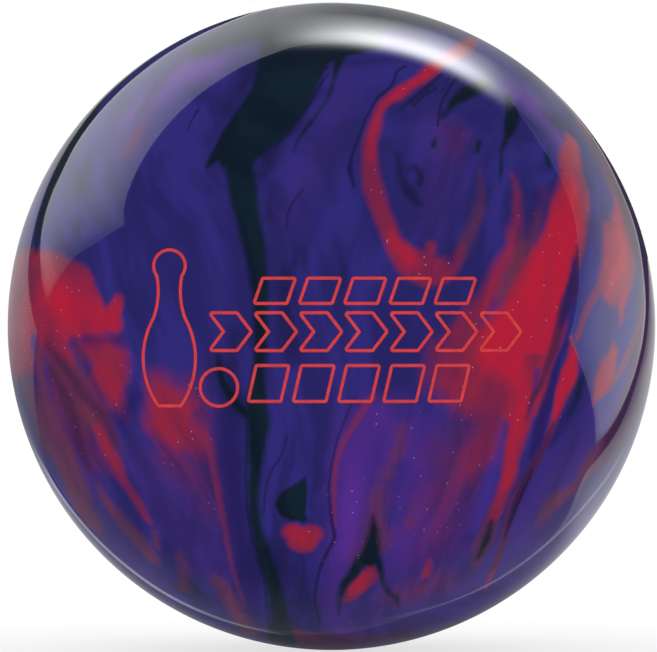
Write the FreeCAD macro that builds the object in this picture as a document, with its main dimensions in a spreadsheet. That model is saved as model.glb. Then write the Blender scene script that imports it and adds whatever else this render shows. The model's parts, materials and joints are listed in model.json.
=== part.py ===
"""An undrilled bowling ball: a solid weight block in a filler core, inside an engraved resin shell.

The origin is the ball's centre, +Z is up and the engraved emblem faces -Y. Lengths are in millimetres.
"""

import FreeCAD, Part
import os
import re
import Sketcher
from FreeCAD import Placement, Rotation, Vector

FULL_CIRCLE = 360
SAME_PLACE = 1e-6
LEAST_CUT = 50  # cubic millimetres
ROTATED_TO_FRONT = Placement(Vector(), Rotation(Vector(1, 0, 0), 90))

# The driving dimensions. Angles are in degrees, and the emblem's places are from the ball's centre.
DIMENSIONS = {
    "ball_diameter": 217.2,
    "cover_thickness": 20,
    "locator_diameter": 6.35,
    "locator_tilt": 20,
    # weight block, in its own frame: z runs along the locator pin, from the ball's centre
    "block_foot_depth": 62,
    "block_foot_radius": 34,
    "block_foot_top": 44,
    "block_waist_radius": 30,
    "block_body_radius": 52,
    "block_body_bottom": 8,
    "block_body_top": 8,
    "block_dome_radius": 53,
    "block_neck_radius": 14,
    "block_neck_bottom": 58,
    "block_neck_top": 66,
    "block_flat_distance": 44,
    "block_edge_round": 3,
    "block_rim_round": 5,
    # flip block, set in the weight block's side
    "flip_radius": 19,
    "flip_seat": 24,
    "flip_end": 60,
    "flip_edge_round": 5,
    # filled dots on the surface, at these angles from the locator pin
    "gravity_mark_angle": 40,
    "gravity_mark_diameter": 2.4,
    "gravity_mark_depth": 1.2,
    "bias_mark_angle": 90,
    "bias_mark_diameter": 3.2,
    "bias_mark_depth": 3,
    # engraving
    "line_width": 1.05,
    "groove_depth": 1.0,
    "paint_recess": 0.12,
    # the emblem's standing pin and its ball
    "figure_middle": -52,
    "figure_foot": -25,
    "figure_height": 49,
    "figure_foot_half": 3.4,
    "figure_waist_half": 4.6,
    "figure_waist_height": 27.5,
    "figure_side_radius": 26,
    "figure_head_half": 3.6,
    "figure_head_height": 41.5,
    "figure_ball_radius": 5.5,
    "figure_ball_right": 16,
    # the emblem's three rows of shapes
    "shape_pitch": 14.4,
    "shape_lean": 2.4,
    "bar_width": 9.4,
    "upper_row_left": -24,
    "upper_row_bottom": 7.8,
    "upper_row_height": 7,
    "middle_row_left": -38,
    "middle_row_bottom": -7.2,
    "middle_row_height": 11,
    "chevron_width": 7.6,
    "chevron_point": 4.2,
    "lower_row_left": -26,
    "lower_row_bottom": -23.4,
    "lower_row_height": 10.4,
}
UPPER_BARS = 5
MIDDLE_CHEVRONS = 7
LOWER_BARS = 5

doc = FreeCAD.newDocument("bowling_ball")
sheet = doc.addObject("Spreadsheet::Sheet", "sizes")


def fill_sheet():
    for row, (alias, value) in enumerate(DIMENSIONS.items(), start=1):
        sheet.set(f"A{row}", alias)
        sheet.set(f"B{row}", str(value))
        sheet.setAlias(f"B{row}", alias)
    doc.recompute()


def named(expression):
    """The expression with each dimension's word pointing at its cell of the sheet."""
    return re.sub(r"[a-z_]+", lambda word: f"sizes.{word[0]}" if word[0] in DIMENSIONS else word[0], expression)


def worked_out(expression):
    return float(sheet.evalExpression(named(expression)))


def bind(item, **sizes):
    """Ties an object's properties to expressions in the sheet's dimensions."""
    for prop, expression in sizes.items():
        item.setExpression(prop, named(expression))
    return item


def made(kind, name, **sizes):
    item = doc.addObject(kind, name)
    item.Label = name
    return bind(item, **sizes)


# ---------------------------------------------------------------- sketches


def draw_loop(sketch, corners, arcs=None):
    """Adds a closed loop to the sketch. A corner is a pair of expressions. arcs maps the number of the
    corner that an arc starts from to (radius expression, side): side 1 bulges to the right of the way
    that the loop runs, and -1 to its left."""
    arcs = arcs or {}
    first = sketch.GeometryCount
    places = [Vector(worked_out(across), worked_out(up)) for across, up in corners]
    for number, start in enumerate(places):
        end = places[(number + 1) % len(places)]
        if number in arcs:
            radius, side = arcs[number]
            sketch.addGeometry(shallow_arc(start, end, worked_out(radius), side))
        else:
            sketch.addGeometry(Part.LineSegment(start, end))
    for number, (across, up) in enumerate(corners):
        edge = first + number
        start_end, far_end = (1, 2)
        if number in arcs and arcs[number][1] < 0:
            start_end, far_end = (2, 1)
        following = (number + 1) % len(corners)
        next_start = 2 if following in arcs and arcs[following][1] < 0 else 1
        sketch.addConstraint(Sketcher.Constraint("Coincident", edge, far_end, first + following, next_start))
        hold(sketch, "DistanceX", edge, start_end, across)
        hold(sketch, "DistanceY", edge, start_end, up)
        if number in arcs:
            hold(sketch, "Radius", edge, None, arcs[number][0])


def hold(sketch, kind, edge, point, expression):
    """Adds a constraint whose value follows an expression."""
    where = (edge,) if point is None else (edge, point)
    index = sketch.addConstraint(Sketcher.Constraint(kind, *where, worked_out(expression)))
    bind(sketch, **{f"Constraints[{index}]": expression})


def shallow_arc(start, end, radius, side):
    """The shorter arc of this radius between two points."""
    chord = end - start
    right = Vector(chord.y, -chord.x).normalize() * side
    rise = radius - (radius**2 - (chord.Length / 2) ** 2) ** 0.5
    return Part.Arc(start, (start + end) / 2 + right * rise, end)


def sketch_on(body, name, role, offset=None):
    """A sketch on one of the body's own origin planes."""
    plane = next(feature for feature in body.Origin.OriginFeatures if feature.Role == role)
    sketch = body.newObject("Sketcher::SketchObject", name)
    sketch.AttachmentSupport = (plane, [""])
    sketch.MapMode = "FlatFace"
    if offset:
        sketch.setExpression("AttachmentOffset.Base.z", named(offset))
    return sketch


# ---------------------------------------------------------------- inner pieces


def lean_back(item):
    """Leans a piece from upright to the locator pin's direction, up and to the back."""
    item.Placement = Placement(Vector(), Rotation(Vector(-1, 0, 0), 1))
    return bind(item, **{"Placement.Rotation.Angle": "locator_tilt"})


def make_weight_block():
    """A bulb turned about the locator pin's axis, with two flats and a socket for the flip block."""
    body = made("PartDesign::Body", "weight_block")
    profile = sketch_on(body, "bulb_profile", "XZ_Plane")
    corners = [
        ("0", "-block_foot_depth"),
        ("block_foot_radius", "-block_foot_depth"),
        ("block_foot_radius", "-block_foot_top"),
        ("block_body_radius", "-block_body_bottom"),
        ("block_body_radius", "block_body_top"),
        ("block_neck_radius", "block_neck_bottom"),
        ("block_neck_radius", "block_neck_top"),
        ("0", "block_neck_top"),
    ]
    draw_loop(profile, corners, {2: ("block_waist_radius", -1), 4: ("block_dome_radius", 1)})
    bulb = body.newObject("PartDesign::Revolution", "bulb")
    bulb.Profile = profile
    bulb.ReferenceAxis = (profile, ["V_Axis"])
    bulb.Angle = FULL_CIRCLE
    doc.recompute()
    rims = edges_at(bulb.Shape, "z", "-block_foot_depth") + edges_at(bulb.Shape, "z", "block_neck_top")
    turned = rounded(body, "turned_rims", bulb, rims, "block_rim_round")

    cutters = sketch_on(body, "flat_outlines", "XY_Plane")
    far = "2 * block_body_radius"
    for side in ("", "-"):
        near_edge, far_edge = f"{side}block_flat_distance", f"{side}{far}"
        draw_loop(cutters, [(near_edge, f"-{far}"), (far_edge, f"-{far}"), (far_edge, far), (near_edge, far)])
    flats = body.newObject("PartDesign::Pocket", "flats")
    flats.Profile = cutters
    flats.SideType = "Symmetric"
    flats.Type = "ThroughAll"
    doc.recompute()
    must_shrink(turned, flats)
    flat_rims = edges_at(flats.Shape, "x", "block_flat_distance")
    flat_rims += edges_at(flats.Shape, "x", "-block_flat_distance")
    softened = rounded(body, "flat_rims", flats, flat_rims, "block_edge_round")

    socket_outline = sketch_on(body, "socket_outline", "XZ_Plane", "-flip_seat")
    draw_circle(socket_outline, "flip_radius")
    socket = body.newObject("PartDesign::Pocket", "socket")
    socket.Profile = socket_outline
    socket.Type = "ThroughAll"
    doc.recompute()
    must_shrink(softened, socket)
    return lean_back(body)


def make_flip_block():
    """A short round plug with its outer edge rounded."""
    body = made("PartDesign::Body", "flip_block")
    outline = sketch_on(body, "plug_outline", "XZ_Plane", "-flip_seat")
    draw_circle(outline, "flip_radius")
    plug = body.newObject("PartDesign::Pad", "plug")
    plug.Profile = outline
    plug.Reversed = True
    bind(plug, Length="flip_end - flip_seat")
    doc.recompute()
    rounded(body, "outer_edge", plug, edges_at(plug.Shape, "y", "flip_end"), "flip_edge_round")
    return lean_back(body)


def rounded(body, name, feature, edges, radius):
    """Rounds some edges of the body's last feature."""
    fillet = body.newObject("PartDesign::Fillet", name)
    fillet.Base = (feature, edges)
    bind(fillet, Radius=radius)
    doc.recompute()
    must_shrink(feature, fillet)
    return fillet


def draw_circle(sketch, radius, across="0", up="0"):
    centre = Vector(worked_out(across), worked_out(up))
    edge = sketch.addGeometry(Part.Circle(centre, Vector(0, 0, 1), worked_out(radius)))
    hold(sketch, "Radius", edge, None, radius)
    hold(sketch, "DistanceX", edge, 3, across)
    hold(sketch, "DistanceY", edge, 3, up)


def edges_at(shape, axis, place):
    """The names of the edges whose middle lies at this place along an axis."""
    where = worked_out(place)
    return [
        f"Edge{number}"
        for number, edge in enumerate(shape.Edges, start=1)
        if abs(getattr(edge.CenterOfMass, axis) - where) < SAME_PLACE
    ]


def must_shrink(before, after):
    if after.Shape.Volume >= before.Shape.Volume - LEAST_CUT:
        raise RuntimeError(f"{after.Name} cuts nothing away")


def sphere(name, radius):
    return made("Part::Sphere", name, Radius=radius)


def cut(name, base, tool):
    item = made("Part::Cut", name)
    item.Base, item.Tool = base, tool
    return item


def common(name, base, tool):
    item = made("Part::Common", name)
    item.Base, item.Tool = base, tool
    return item


def fuse(name, *shapes):
    item = made("Part::MultiFuse", name)
    item.Shapes = list(shapes)
    return item


def radial_rod(name, diameter, start, angle):
    """A rod that stands out through the surface from a distance start to the ball's centre. angle is from
    straight up, towards the back."""
    rod = made("Part::Cylinder", name, Radius=f"{diameter} / 2", Height=f"ball_diameter - ({start})")
    rod.Placement = Placement(Vector(), Rotation(Vector(-1, 0, 0), 1))
    places = {
        "Placement.Rotation.Angle": angle,
        "Placement.Base.y": f"({start}) * sin({angle})",
        "Placement.Base.z": f"({start}) * cos({angle})",
    }
    return bind(rod, **places)


# ---------------------------------------------------------------- emblem


def emblem_sketch(name):
    """A sketch in the upright plane through the ball's centre, seen from the front."""
    sketch = made("Sketcher::SketchObject", f"{name}_outlines")
    sketch.Placement = ROTATED_TO_FRONT
    return sketch


def figure_outlines():
    """A standing pin with a ball beside its foot."""
    sketch = emblem_sketch("figure")
    foot, waist, head = "figure_foot", "figure_foot + figure_waist_height", "figure_foot + figure_head_height"
    corners = [
        ("figure_middle + figure_foot_half", foot),
        ("figure_middle + figure_waist_half", waist),
        ("figure_middle + figure_head_half", head),
        ("figure_middle", "figure_foot + figure_height"),
        ("figure_middle - figure_head_half", head),
        ("figure_middle - figure_waist_half", waist),
        ("figure_middle - figure_foot_half", foot),
    ]
    head_rise = "(figure_height - figure_head_height)"
    head_radius = f"(figure_head_half ^ 2 + {head_rise} ^ 2) / (2 * {head_rise})"
    belly, neck, crown = ("figure_side_radius", 1), ("figure_side_radius", -1), (head_radius, 1)
    draw_loop(sketch, corners, {0: belly, 1: neck, 2: crown, 3: crown, 4: neck, 5: belly})
    ball_middle = "figure_foot + figure_ball_radius"
    draw_circle(sketch, "figure_ball_radius", "figure_middle + figure_ball_right", ball_middle)
    return sketch


def bar_outlines(name, count):
    """A row of leaning bars."""
    sketch = emblem_sketch(name)
    bottom, top = f"{name}_bottom", f"{name}_bottom + {name}_height"
    for number in range(count):
        left = f"{name}_left + {number} * shape_pitch"
        corners = [
            (left, bottom),
            (f"{left} + bar_width", bottom),
            (f"{left} + bar_width + shape_lean", top),
            (f"{left} + shape_lean", top),
        ]
        draw_loop(sketch, corners)
    return sketch


def chevron_outlines(name, count):
    """A row of chevrons that point to the right."""
    sketch = emblem_sketch(name)
    bottom, top = f"{name}_bottom", f"{name}_bottom + {name}_height"
    middle = f"{name}_bottom + {name}_height / 2"
    for number in range(count):
        left = f"{name}_left + {number} * shape_pitch"
        corners = [
            (left, bottom),
            (f"{left} + chevron_width", bottom),
            (f"{left} + chevron_width + chevron_point", middle),
            (f"{left} + chevron_width", top),
            (left, top),
            (f"{left} + chevron_point", middle),
        ]
        draw_loop(sketch, corners)
    return sketch


def engraved(name, sketch):
    """The grooves round a sketch's outlines, cut straight in from the front to an even depth."""
    strokes = made("Part::Offset2D", f"{name}_strokes", Value="line_width")
    strokes.Source = sketch
    strokes.Fill = True
    blades = made("Part::Extrusion", f"{name}_blades", LengthFwd="ball_diameter")
    blades.Base = strokes
    blades.DirMode = "Normal"
    blades.Solid = True
    groove_floor = sphere(f"{name}_groove_floor", "ball_diameter / 2 - groove_depth")
    grooves = cut(f"{name}_grooves", blades, groove_floor)
    paint_face = sphere(f"{name}_paint_face", "ball_diameter / 2 - paint_recess")
    infill = common(f"emblem_{name}_infill", grooves, paint_face)
    return grooves, infill


# ---------------------------------------------------------------- the whole ball


def make_ball():
    """Builds every piece, and returns the sub-parts that are written out."""
    weight_block = make_weight_block()
    flip_block = make_flip_block()
    surface = "ball_diameter / 2"
    locator_rod = radial_rod("locator_rod", "locator_diameter", "block_neck_top", "locator_tilt")
    locator_pin = common("locator_pin", locator_rod, sphere("locator_end", surface))

    core_sphere = sphere("core_sphere", f"{surface} - cover_thickness")
    outer_core = cut("outer_core", core_sphere, fuse("core_contents", weight_block, flip_block, locator_rod))

    marks = {
        "cg_mark": ("gravity_mark", "locator_tilt + gravity_mark_angle"),
        "mass_bias_mark": ("bias_mark", "locator_tilt + bias_mark_angle"),
    }
    tools, infills = [locator_rod], []
    for mark, (sizes, angle) in marks.items():
        rod = radial_rod(f"{mark}_hole", f"{sizes}_diameter", f"{surface} - {sizes}_depth", angle)
        tools.append(rod)
        infills.append(common(f"{mark}_infill", rod, sphere(f"{mark}_end", surface)))
    motifs = {
        "figure": figure_outlines(),
        "upper_row": bar_outlines("upper_row", UPPER_BARS),
        "middle_row": chevron_outlines("middle_row", MIDDLE_CHEVRONS),
        "lower_row": bar_outlines("lower_row", LOWER_BARS),
    }
    for motif, sketch in motifs.items():
        grooves, infill = engraved(motif, sketch)
        tools.append(grooves)
        infills.append(infill)

    shell = cut("shell", sphere("outer_surface", surface), sphere("core_seat", f"{surface} - cover_thickness"))
    coverstock = cut("coverstock", shell, fuse("engraving", *tools))
    return [coverstock, outer_core, weight_block, flip_block, locator_pin, *infills]


def stop_if_bad(sub_parts):
    doc.recompute()
    for item in doc.Objects:
        if "Invalid" in item.State or "Error" in item.State:
            raise RuntimeError(f"{item.Name} could not be built: {item.State}")
    for item in sub_parts:
        if item.Shape.isNull() or not item.Shape.isValid() or not item.Shape.Solids:
            raise RuntimeError(f"{item.Label} has no sound solid")


def write_out(sub_parts):
    os.makedirs("parts", exist_ok=True)
    for item in sub_parts:
        item.Shape.exportStep(f"parts/{item.Label}.step")
        print(f"{item.Label}: {len(item.Shape.Solids)} solids, {item.Shape.Volume / 1000:.3f} cm3")


fill_sheet()
ball_parts = make_ball()
stop_if_bad(ball_parts)
write_out(ball_parts)
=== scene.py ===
"""The looks of an undrilled bowling ball: a poured, swirled resin cover with a painted engraving.

Lengths are in metres unless a name says mm. The origin is the ball's centre, +Z is up and the emblem
faces -Y. Places on the ball are in degrees to the right and degrees up, as seen from the front.
"""

import json
import math

import bpy
import bmesh
import numpy as np
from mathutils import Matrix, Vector

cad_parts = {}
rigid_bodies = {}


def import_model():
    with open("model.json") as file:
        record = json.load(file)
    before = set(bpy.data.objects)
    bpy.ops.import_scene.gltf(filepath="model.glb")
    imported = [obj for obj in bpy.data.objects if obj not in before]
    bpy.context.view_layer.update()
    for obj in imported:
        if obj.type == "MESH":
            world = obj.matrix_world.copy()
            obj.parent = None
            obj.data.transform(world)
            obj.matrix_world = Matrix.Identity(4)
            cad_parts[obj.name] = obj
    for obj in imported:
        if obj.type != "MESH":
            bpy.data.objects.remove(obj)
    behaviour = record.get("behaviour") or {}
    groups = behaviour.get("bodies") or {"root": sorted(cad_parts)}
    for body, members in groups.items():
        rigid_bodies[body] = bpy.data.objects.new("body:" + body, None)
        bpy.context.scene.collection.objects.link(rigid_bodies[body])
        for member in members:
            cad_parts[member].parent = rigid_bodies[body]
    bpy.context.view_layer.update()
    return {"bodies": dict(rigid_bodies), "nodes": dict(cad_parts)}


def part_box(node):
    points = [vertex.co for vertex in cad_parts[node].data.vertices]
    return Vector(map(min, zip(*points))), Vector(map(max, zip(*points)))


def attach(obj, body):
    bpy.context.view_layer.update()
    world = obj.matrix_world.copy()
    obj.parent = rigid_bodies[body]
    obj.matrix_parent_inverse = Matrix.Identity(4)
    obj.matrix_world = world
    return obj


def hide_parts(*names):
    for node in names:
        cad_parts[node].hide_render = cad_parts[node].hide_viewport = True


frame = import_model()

MM = 0.001
BODY = next(iter(frame["bodies"]))

cover_low, cover_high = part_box("coverstock")
core_low, core_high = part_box("outer_core")
RADIUS = (cover_high[2] - cover_low[2]) / 2
CORE_RADIUS = (core_high[2] - core_low[2]) / 2

TINY = 1e-9  # far below any real number here

# camera: far off, level with the ball's middle and a hair to its side
CAMERA_DISTANCE = 2.0
OUTLINE_ANGLE = math.asin(RADIUS / CAMERA_DISTANCE)
CAMERA_ASIDE = Vector((-1.0 * MM, 0, 0.1 * MM))
BALL_SHARE_OF_WIDTH = 0.9857
SENSOR = 36.0
VIEW_END = 100

# cover mesh: cells along a side of the cube that is blown up to the ball, and how much the cells crowd
# towards the front
OUTER_CELLS = 120
INNER_CELLS = 20
CROWDING = 0.3
WELD = 1e-7
SAME_DIGITS = 7
# A filling's points less deep than CUT_FROM are pulled out by CUT_REACH to make its cutter.
CUT_FROM = 0.6 * MM
CUT_REACH = 2 * MM
# A face with no point deeper than this belongs to the outer surface.
SURFACE_DEPTH = 0.05 * MM

# lights: how far off they are, how finely they are meshed, and the width (as a share of the light's) and
# glow of their thin bright edges
STUDIO_DISTANCE = 12.0
BACKDROP_DISTANCE = 1.1 * STUDIO_DISTANCE
LIGHT_STEPS = 6
LIGHT_COLUMNS = 24
EDGE_WIDTH = 0.018
EDGE_GLOW = 0.3
FULL_EDGE_LEVEL = 0.3  # a light fainter than this has fainter edges too

# white surround: its glow, and how the polish mirrors it; and the floor
STUDIO_GLOW = 1.0
MIRRORED_GLOW = 0.05
MIRRORED_TINT = (0.8, 0.85, 1, 1)
FLOOR_REACH = 30.0
FLOOR_BRIGHTNESS = 0.72
FLOOR_GREY = 0.3

EMBLEM = [
    "emblem_figure_infill",
    "emblem_upper_row_infill",
    "emblem_middle_row_infill",
    "emblem_lower_row_infill",
]
MARKS = ["cg_mark_infill", "mass_bias_mark_infill"]
DRILLED = ["locator_pin", *MARKS]

# The CAD nodes that show as they are. For each material: its nodes, its darker and lighter colour, the
# size of its grain in mm, its roughness and the depth of its relief in mm.
FILLERS = {
    "emblem_paint": (EMBLEM, (208, 44, 52), (228, 58, 62), 0.4, 0.35, 0.01),
    "pin_resin": (["locator_pin"], (196, 40, 52), (222, 60, 62), 0.6, 0.2, 0.005),
    "mark_paint": (MARKS, (214, 206, 190), (240, 236, 226), 0.3, 0.35, 0.01),
    "filler": (["outer_core"], (150, 150, 146), (196, 194, 186), 1.2, 0.6, 0.1),
    "dense_block": (["weight_block"], (94, 97, 104), (130, 133, 140), 0.8, 0.6, 0.06),
    "dense_insert": (["flip_block"], (158, 74, 56), (194, 104, 84), 0.8, 0.55, 0.06),
}

# What noise lies between: most of it, and nearly all of it.
MOST_NOISE = (0.36, 0.64)
ALL_NOISE = (0.3, 0.7)

# ---------------------------------------------------------------- the pour
# Each stroke of colour is its edge's softness in mm, then its points: degrees to the right of the
# front, degrees up, and half the stroke's width there in mm.

SWIRLS = {}
SWIRLS["violet"] = [
    # over the right side
    (6, (96, 42, 4), (92, 28, 8), (88, 12, 6)),
    # over the left side
    (6, (-85, 12, 5), (-90, -2, 8), (-95, -20, 6)),
    # middle, down to the foot
    (6, (7, -16, 7), (5, -21.5, 7), (4, -29, 5.5), (4, -37, 5.5), (2, -48, 4.5), (0.5, -57, 4),
     (6.5, -68, 5.5)),
    # broad foot
    (12, (15, -19.5, 6), (19, -31, 8), (21.5, -44, 11)),
    # upper left panel
    (9, (-52.5, 39, 3), (-48, 46, 8), (-39.5, 53, 9)),
    # upper right panel
    (6, (54, 45, 7), (56.5, 39, 6), (56.5, 34, 3)),
    # upper middle
    (8, (10, -14, 1.3), (10, -17.5, 4), (10, -21.5, 4.5), (8.5, -26, 2.5)),
]
SWIRLS["dusk"] = [
    # foot
    (14, (35.5, -55.5, 32), (45.5, -44.5, 33), (52.5, -34.5, 28), (55.5, -24.5, 21), (55.5, -18, 11)),
    # lower left
    (8, (-38, -18.5, 3), (-36.5, -25.5, 10), (-32.5, -33, 15), (-30.5, -42, 12), (-32.5, -52.5, 7)),
    # far lower left
    (7, (-58, -22, 5), (-54.5, -29.5, 9), (-56.5, -40, 11), (-59.5, -50.5, 13)),
    # inside the ribbon's loop
    (12, (24, 38, 3.5), (21.5, 27.5, 6), (18, 19, 4)),
    # beside the swirl
    (12, (3.5, 47, 1.5), (0, 35.5, 2.5), (-6, 25.5, 3), (-8, 19, 1.5)),
]
SWIRLS["blue"] = [
    # wedge between the red bands
    (2.5, (32, -16, 0.6), (32, -20.5, 2), (32, -25.5, 2.5), (32, -30.5, 3), (32.5, -36.5, 2)),
]
SWIRLS["black"] = [
    # over the right side
    (1.5, (84, 66, 2), (85, 50, 4), (89, 34, 6), (94, 18, 4), (96, 4, 2)),
    # over the left side
    (1.5, (-96, 22, 2), (-94, 6, 4), (-89, -12, 6), (-85, -30, 4), (-84, -48, 2)),
    # left rim
    (3, (-67, 14, 2), (-68, 16.5, 4), (-69, 22, 5.5), (-71, 29.5, 7), (-74.5, 36, 11), (-83, 44.5, 7),
     (-81.5, 55, 0.1), (-78.5, 64.5, 0.1)),
    # swirl
    (1.3, (-6, 62, 22), (-10.5, 54, 12), (-11.5, 47, 11), (-12.5, 42.5, 11), (-15, 37.5, 11),
     (-17, 34, 9), (-18.5, 31, 7)),
    # swirl's left corner
    (1, (-20.5, 37.5, 3), (-21.5, 34, 3.5), (-22.5, 31.5, 3), (-23.5, 30, 2), (-24.5, 28.5, 0.8)),
    # swirl's tail
    (1.5, (-18.5, 30, 5.5), (-17.5, 26.5, 4.5), (-16.5, 23.5, 4.5), (-15.5, 20.5, 4.5), (-14.5, 17, 4),
     (-13.5, 13.5, 3.5), (-12.5, 8.5, 3), (-12, 4.5, 2.5), (-12, -2.5, 2), (-12.5, -7.5, 2),
     (-13, -12.5, 3.5), (-13, -16.5, 4), (-13.5, -20, 3), (-14.5, -25, 2), (-15.5, -30.5, 2),
     (-16, -36.5, 2), (-16, -42.5, 3), (-16, -50.5, 3), (-18, -59.5, 3), (-35.5, -75, 5)),
    # arc round the emblem's foot
    (1.2, (-19.5, -5, 0.5), (-19, -9, 1.0), (-17.5, -12, 1.4), (-15, -15, 1.5)),
    # right of the swirl
    (1, (4.5, 58.5, 3), (3, 55, 2.5), (1.5, 51, 1.0), (0.5, 47, 0.7), (-1, 42.5, 0.5), (-3.5, 38.5, 0.5),
     (-5.5, 35.5, 0.5), (-7, 33, 0.4), (-7.5, 31, 0.3)),
    # triangle
    (0.8, (-5, -26.5, 0.5), (-6, -28.5, 2.5), (-7, -30, 4), (-8, -32, 5.5), (-7, -33.5, 4),
     (-6, -34.5, 1.5)),
    # wedge
    (1.5, (8.5, -34.5, 0.5), (9, -37, 1.5), (9, -40.5, 2.5), (9, -43.5, 3.5)),
    # wedge's left leg
    (1.2, (7, -44, 2), (5.5, -47.5, 2), (3.5, -50.5, 1.5), (2.5, -55, 0.9), (2.5, -60, 0.3)),
    # wedge's right leg
    (1.1, (11, -44, 1.3), (13, -48, 0.8), (15, -51.5, 0.8), (17.5, -53.5, 0.9), (20, -55, 0.7),
     (22, -57.5, 0.2)),
    # top right wedge
    (1.4, (43, 47, 2), (35, 44.5, 2.5), (29.5, 42, 1.5), (25, 38.5, 0.5)),
    # right tick
    (1, (47, 43.5, 1.5), (45, 40, 3), (42.5, 37.5, 2.5), (39, 34, 1.1), (36.5, 31.5, 0.6),
     (34.5, 27.5, 0.5), (33.5, 25.5, 0.2)),
    # oval
    (0.9, (21.5, 33.5, 0.5), (21, 32.5, 0.7)),
    # oval
    (0.9, (31.5, 33, 0.8), (30.5, 31.5, 0.8)),
    # oval
    (1.6, (48.5, 30.5, 1.2), (48, 29, 0.9)),
    # streak in the red's foot
    (1.5, (36, -36, 0.9), (37, -39.5, 1.5), (37.5, -43.5, 1.0)),
    # core of the right navy
    (2.2, (49, -9.5, 1.1), (48.5, -12, 1.5), (47.5, -14.5, 0.8)),
    # top rim
    (6, (-44, 59.5, 9), (-33.5, 67.5, 19), (-6, 71.5, 20), (32, 73.5, 16), (62, 70, 12)),
    # lower right rim
    (6, (84, -35, 0.0), (83.5, -42.5, 0.1), (82, -51.5, 0.1), (79.5, -61.5, 3.5), (74, -71.5, 8)),
]
SWIRLS["deep"] = [
    # swirl's right edge
    (4, (-3, 44, 1.5), (-7, 39.5, 2.5), (-10, 35, 2.5), (-12, 31.5, 2.5), (-13, 27, 2)),
    # swirl's left edge
    (5, (-20, 52.5, 3.5), (-22, 47, 3.5), (-23.5, 41, 3)),
    # beside the tail
    (4, (-11, 23.5, 2), (-11.5, 19, 1.3)),
    # blotch at the emblem
    (3.5, (-5.5, 13, 0.6), (-6.5, 10.5, 2), (-7.5, 8, 2.5), (-7.5, 3.5, 3), (-7.5, -1, 4),
     (-7, -4.5, 2.5)),
    # faint streak
    (3, (1, 13.5, 0.6), (2, 10, 1.0), (2.5, 7.5, 0.8)),
    # green patch
    (1.6, (13, 30, 0.7), (13, 27.5, 1.2), (13.5, 25, 2), (14.5, 23, 2.5), (15.5, 21.5, 1.4)),
    # green patch's curl
    (1.2, (14.5, 27.5, 0.5), (16, 28, 1.0), (17, 26.5, 1.1), (16.5, 25, 0.8)),
    # foot
    (9, (-11, -44, 4.5), (-11, -55, 6), (-18.5, -73, 7)),
    # beside the central band
    (4, (-16.5, -2.5, 3), (-17.5, -12.5, 2.5), (-18.5, -23, 2.5), (-19.5, -35, 2), (-22, -49.5, 2)),
    # under the panel, right
    (4, (63, 37, 6), (59, 38.5, 4.5)),
    # lower left patch
    (3, (-43.5, -50.5, 3.5), (-45.5, -53.5, 7), (-48, -57, 4)),
    # foot dash
    (1.2, (25.5, -50, 1.0), (26, -53.5, 0.8)),
    # left panel streak
    (4, (-51.5, 51, 2.5), (-50, 46, 2.5), (-48.5, 40, 1.5)),
    # left panel streak
    (4, (-58.5, 30.5, 1.5), (-57.5, 27, 3), (-56, 24, 1.4)),
    # left panel patch
    (3, (-54, 18.5, 1.4), (-53, 17.5, 2)),
]
SWIRLS["plum"] = [
    # right of middle
    (9, (26.5, -16, 6), (24, -23, 9), (23, -31, 8), (24, -39.5, 5)),
    # left lobe's foot
    (8, (-29.5, -23.5, 5), (-26.5, -27, 5.5), (-25.5, -32, 3)),
    # left, under the red
    (6, (-58.5, -4.5, 4), (-55, -10.5, 11), (-52.5, -17, 13), (-50.5, -22, 7)),
    # inside the ribbon's loop
    (6, (26.5, 34.5, 3), (24.5, 30.5, 1.5)),
    # patch under the left panel
    (5, (-45.5, 36, 2.5), (-45.5, 34, 3.5), (-45.5, 32, 2.5)),
    # big band's left edge
    (3, (44, 23, 1.3), (41.5, 20, 2), (39.5, 17, 3), (37, 14, 3.5), (34.5, 10.5, 3.5)),
    # second lobe's right side
    (6, (-24.5, -11, 3), (-24, -14.5, 4.5), (-24.5, -18.5, 4.5), (-25.5, -22.5, 4)),
    # foot haze
    (8, (18, -54, 2.5), (24, -53, 5), (30, -50.5, 4)),
]
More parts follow.
